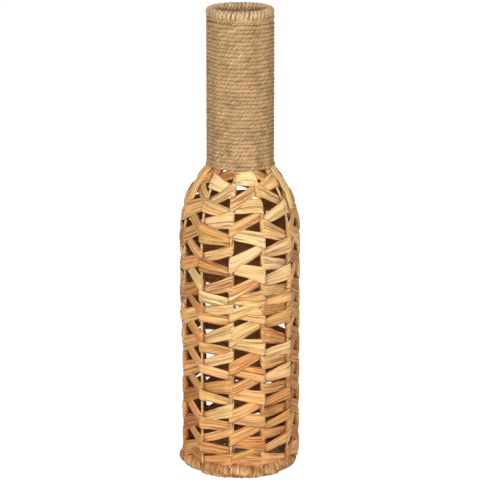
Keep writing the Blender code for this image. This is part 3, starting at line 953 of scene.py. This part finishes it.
class Nodes:
    """A node tree that is being made."""

    def __init__(self, tree):
        self.tree = tree

    def put(self, socket, value):
        if isinstance(value, Value):
            self.tree.links.new(value.socket, socket)
        else:
            socket.default_value = value

    def node(self, kind, settings, inputs, output=0):
        """Adds a node: settings first, then its sockets' values or links. Returns one output."""
        made = self.tree.nodes.new(kind)
        for key, value in settings.items():
            if key == "stops":
                ramp = made.color_ramp.elements
                while len(ramp) < len(value):
                    ramp.new(1.0)
                for element, (position, colour) in zip(ramp, value):
                    element.position = position
                    element.color = colour
            else:
                setattr(made, key, value)
        for key, value in inputs.items():
            self.put(made.inputs[key], value)
        return Value(self, made.outputs[output])

    def shown(self):
        """1 on the rays that show a thing, directly or in metal and glass, and 0 on the others."""
        path = self.tree.nodes.new("ShaderNodeLightPath").outputs
        shown = Value(self, path["Is Camera Ray"]) + Value(self, path["Is Glossy Ray"])
        return shown + Value(self, path["Is Transmission Ray"])


class Finish(Nodes):
    """A node material being made on one Principled shader."""

    def __init__(self, name):
        self.material = bpy.data.materials.new(name)
        self.material.use_nodes = True
        super().__init__(self.material.node_tree)
        self.shader = self.tree.nodes["Principled BSDF"]

    def set(self, **inputs):
        for key, value in inputs.items():
            self.put(self.shader.inputs[key.replace("_", " ")], value)
        return self.material

    def attribute(self, name):
        return self.node("ShaderNodeAttribute", {"attribute_name": name}, {}, "Fac")

    def place(self):
        """Object coordinates."""
        return self.node("ShaderNodeTexCoord", {}, {}, "Object")

    def parts(self, vector):
        """The three numbers of a vector."""
        made = self.tree.nodes.new("ShaderNodeSeparateXYZ")
        self.put(made.inputs[0], vector)
        return [Value(self, out) for out in made.outputs]

    def grain(self):
        """(along, across) in the piece's own grain coordinates."""
        uv = self.node("ShaderNodeUVMap", {"uv_map": "grain"}, {})
        return self.parts(uv)[:2]

    def vector(self, x, y, z):
        return self.node("ShaderNodeCombineXYZ", {}, {0: x, 1: y, 2: z})

    def noise(self, vector, detail, roughness=0.5, scale=1.0):
        inputs = {"Vector": vector, "Scale": scale, "Detail": detail, "Roughness": roughness}
        return self.node("ShaderNodeTexNoise", {}, inputs)

    def mix(self, share, one, other, blend="MIX"):
        made = self.tree.nodes.new("ShaderNodeMix")
        made.data_type = "RGBA"
        made.blend_type = blend
        for name, value in (("Factor_Float", share), ("A_Color", one), ("B_Color", other)):
            self.put(next(s for s in made.inputs if s.identifier == name), value)
        return Value(self, next(s for s in made.outputs if s.identifier == "Result_Color"))

    def ramp(self, value, places, colours):
        stops = list(zip(places, map(shade, colours)))
        return self.node("ShaderNodeValToRGB", {"stops": stops}, {0: value})

    def bump(self, height, distance, strength):
        inputs = {"Height": height, "Distance": distance, "Strength": strength}
        return self.node("ShaderNodeBump", {}, inputs)


def leaf_noise(finish, along, across, shift, pattern):
    """Noise drawn out along the leaf; shift tells one leaf's pattern from another's."""
    fine_along, fine_across, offset, detail, roughness = pattern
    place = finish.vector(along * fine_along, across * fine_across, shift + offset)
    return finish.noise(place, detail, roughness)


def leaf_finish(name, colours, reddening):
    """Dried leaf: its shade runs from pale to brown, with fibres, dark creases that are partly
    painted shade, reddish streaks, painted highlights along the grain and the edges, and painted
    shade on the inner faces.

    A leg's own blush shifts the pattern, so that no two legs look the same. reddening is how much
    the leaf reddens and darkens towards the foot.
    """
    finish = Finish(name)
    pale = shade(colours[0])
    along, across = finish.grain()
    tone = finish.attribute("tone")
    streak = finish.attribute("streak")
    blush = finish.attribute("blush")
    inside = finish.attribute("inside")
    shift = blush * 7
    broad = leaf_noise(finish, along, across, shift, BROAD_PATTERN)
    grain = leaf_noise(finish, along, across, shift, GRAIN_PATTERN)
    fibre = leaf_noise(finish, along, across, shift, FIBRE_PATTERN)
    crease = leaf_noise(finish, along, across, shift, CREASE_PATTERN)
    broken = leaf_noise(finish, along, across, shift, BREAK_PATTERN)
    line = 1 - abs((crease - 0.5) * 18)
    line = line.between(0.0, 1.0) * broken.between(0.29, 0.5)
    near_foot = (1 - finish.parts(finish.place())[2].between(0.02, 0.33)) * reddening

    level = tone * 0.8 + (broad - 0.5) * 0.95 + (grain - 0.5) * 0.95 + (fibre - 0.5) * 0.45 + 0.07
    level = level + near_foot * 0.1
    colour = finish.ramp(level, (0.0, 0.3, 0.6, 1.0), colours)
    rosy = blush * 0.5 + near_foot * 0.4
    colour = finish.mix(rosy, colour, shade(ROSY_LEAF), "MULTIPLY")
    fresh = 1 - blush.between(0.05, 0.6)
    colour = finish.mix(fresh * 0.5, colour, shade(FRESH_LEAF), "MULTIPLY")
    red = (grain * 1.5 + broad * 0.6 + streak * 0.6 - 1.28).between(0.17, 0.42)
    colour = finish.mix(red * 0.75, colour, shade(RED_STREAK))
    # Painted highlight: pale lines where the grain is high, on the ridges that the bump raises
    painted_highlight = (grain * 1.1 - fibre * 0.3).between(0.5, 0.72)
    colour = finish.mix(painted_highlight * 0.45, colour, pale)
    vein = 1 - (grain * 0.8 + fibre * 0.3).between(0.36, 0.50)
    colour = finish.mix(vein * 0.42, colour, shade(LEAF_VEIN))
    # Painted highlight along the leaf's edges
    painted_edge = abs(across).between(0.0075, 0.0088)
    colour = finish.mix(painted_edge * 0.3, colour, pale)
    # Dark crease lines: dark splits of the leaf, and painted shade in the creases that the bump
    # dents
    colour = finish.mix(line * 0.74, colour, shade(LEAF_CREASE))
    # Painted shade towards brown, where the mesh marks it
    colour = finish.mix(inside * 0.8, colour, shade(LEAF_PAINTED_SHADE))
    relief = grain * 0.6 + fibre * 0.4 + broad * 0.4 - line
    return finish.set(
        Base_Color=colour,
        Roughness=(fibre * 0.25 + 0.42),
        Normal=finish.bump(relief, 0.0007, 0.9),
        Specular_IOR_Level=0.2,
    )


def rope_finish():
    """Jute: fibre along the plies, painted shade in the grooves, where turns meet and on the inner
    side, painted light on the rim, and patches of fairer and redder yarn.
    """
    finish = Finish("jute_rope")
    along, ply = finish.grain()
    sunk = finish.attribute("sunk")
    patch = finish.noise(finish.place(), 3.0, scale=60.0)
    yarn = finish.noise(finish.vector(along * 45, ply * ROPE_PLIES, 2.0), 2.0)
    fibre = finish.noise(finish.vector(along * 420, ply * 34, patch * 4), 4.0, 0.65)
    turn = (ply * ROPE_PLIES).fraction()
    groove = 1 - (turn * (1 - turn) * 4) ** 0.7
    level = (fibre - 0.5) * 1.25 + (patch - 0.5) * 0.5 + (yarn - 0.5) * 0.85 + 0.585
    # Painted shade in the ply grooves and where the mesh marks it, which on the rim is painted
    # light
    level = level - groove * 0.34 - sunk * 0.16
    colour = finish.ramp(level, (0.0, 0.35, 0.65, 1.0), JUTE_COLOURS)
    rosy = (patch * 0.7 + yarn * 0.5).between(0.58, 0.80)
    colour = finish.mix(rosy * 0.42, colour, shade(ROSY_JUTE), "MULTIPLY")
    return finish.set(
        Base_Color=colour,
        Roughness=0.88,
        Normal=finish.bump(fibre - groove * 0.5, 0.0007, 0.8),
        Specular_IOR_Level=0.1,
    )


def wire_finish():
    """Straw-coloured coating on wire, with small rubbed spots, and painted shade on it inside the
    neck.
    """
    finish = Finish("coated_wire")
    place = finish.place()
    spots = finish.noise(place, 4.0, scale=260.0)
    colour = finish.ramp(spots, (0.3, 0.55, 0.75), WIRE_COLOURS)
    # Painted shade on the wire inside the neck
    shade_in_neck = finish.parts(place)[2].between(0.404, 0.415)
    colour = finish.mix(shade_in_neck * 0.8, colour, shade(WIRE_PAINTED_SHADE))
    return finish.set(
        Base_Color=colour,
        Roughness=(spots * 0.3 + 0.4),
        Normal=finish.bump(spots, 0.0003, 0.5),
        Specular_IOR_Level=0.3,
    )


def floor_finish():
    """A white floor that the camera sees evenly lit, with a faint shadow left in."""
    finish = Finish("white_floor")
    finish.set(Base_Color=shade(FLOOR_COLOUR), Roughness=0.9)
    white = Value(finish, finish.shader.outputs[0])
    glow = finish.node("ShaderNodeEmission", {}, {"Color": (1, 1, 1, 1), "Strength": FLOOR_GLOW})
    share = finish.shown() * FLOOR_SEEN_AS_GLOW
    blended = finish.node("ShaderNodeMixShader", {}, {0: share, 1: white, 2: glow})
    finish.put(finish.tree.nodes["Material Output"].inputs["Surface"], blended)
    return finish.material


def dress_cage(material):
    """The ribs, rings and hub keep their solids and take the wire's coating."""
    for node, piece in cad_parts.items():
        if node.startswith("rib_") or node.endswith("_ring") or node == "hub_disc":
            piece.data.materials.clear()
            piece.data.materials.append(material)


def make_floor():
    bpy.ops.mesh.primitive_plane_add(size=FLOOR_WIDTH, location=(0, 0, 0))
    floor = bpy.context.object
    floor.name = "studio_floor"
    floor.data.materials.append(floor_finish())


def soft_lamp(name, place, size, watts):
    """A square studio softbox that faces the vase."""
    lamp = bpy.data.lights.new(name, "AREA")
    lamp.shape = "SQUARE"
    lamp.size = size
    lamp.energy = watts
    holder = bpy.data.objects.new(name, lamp)
    holder.location = place
    direction = np.array(LAMP_AIM) - np.array(place)
    holder.rotation_euler = Vector(direction.tolist()).to_track_quat("-Z", "Y").to_euler()
    bpy.context.scene.collection.objects.link(holder)


def light_studio():
    """White surroundings with plain fill, two soft lamps in front and one behind."""
    world = bpy.data.worlds.new("studio")
    world.use_nodes = True
    bpy.context.scene.world = world
    studio = Nodes(world.node_tree)
    strength = {"Value": studio.shown(), "To Min": FILL_LIGHT, "To Max": 1.0}
    background = studio.tree.nodes["Background"]
    studio.put(background.inputs["Color"], (1, 1, 1, 1))
    studio.put(background.inputs["Strength"], studio.node("ShaderNodeMapRange", {}, strength))
    for lamp in LAMPS:
        soft_lamp(*lamp)


def place_camera():
    """The photograph's view: from 3.6 m in front, looking 14 degrees down."""
    camera = bpy.data.cameras.new("camera")
    camera.lens = CAMERA_LENS
    camera.sensor_width = CAMERA_SENSOR
    camera.clip_end = CAMERA_REACH
    holder = bpy.data.objects.new("camera", camera)
    holder.location = CAMERA_PLACE
    holder.rotation_euler = (math.radians(90 - CAMERA_LOOKS_DOWN), 0, 0)
    bpy.context.scene.collection.objects.link(holder)
    bpy.context.scene.camera = holder


def main():
    leaf = leaf_finish("dried_leaf", LEAF_COLOURS, 1.0)
    thick_leaf = leaf_finish("foot_leaf", FOOT_LEAF_COLOURS, 0.2)
    jute = rope_finish()
    for number in range(1, RIB_COUNT + 1):
        lacing_strand(number, leaf)
    for number, place, lowest, tone in LEAF_ENDS:
        leaf_end(number, place, lowest, tone, leaf)
    foot_leaf(thick_leaf)
    base_leaf(leaf)
    neck_rope(jute)
    rim_rope(jute)
    jute_hairs(jute)
    dress_cage(wire_finish())
    make_floor()
    light_studio()
    place_camera()
    bpy.context.scene.view_settings.view_transform = "Standard"


main()
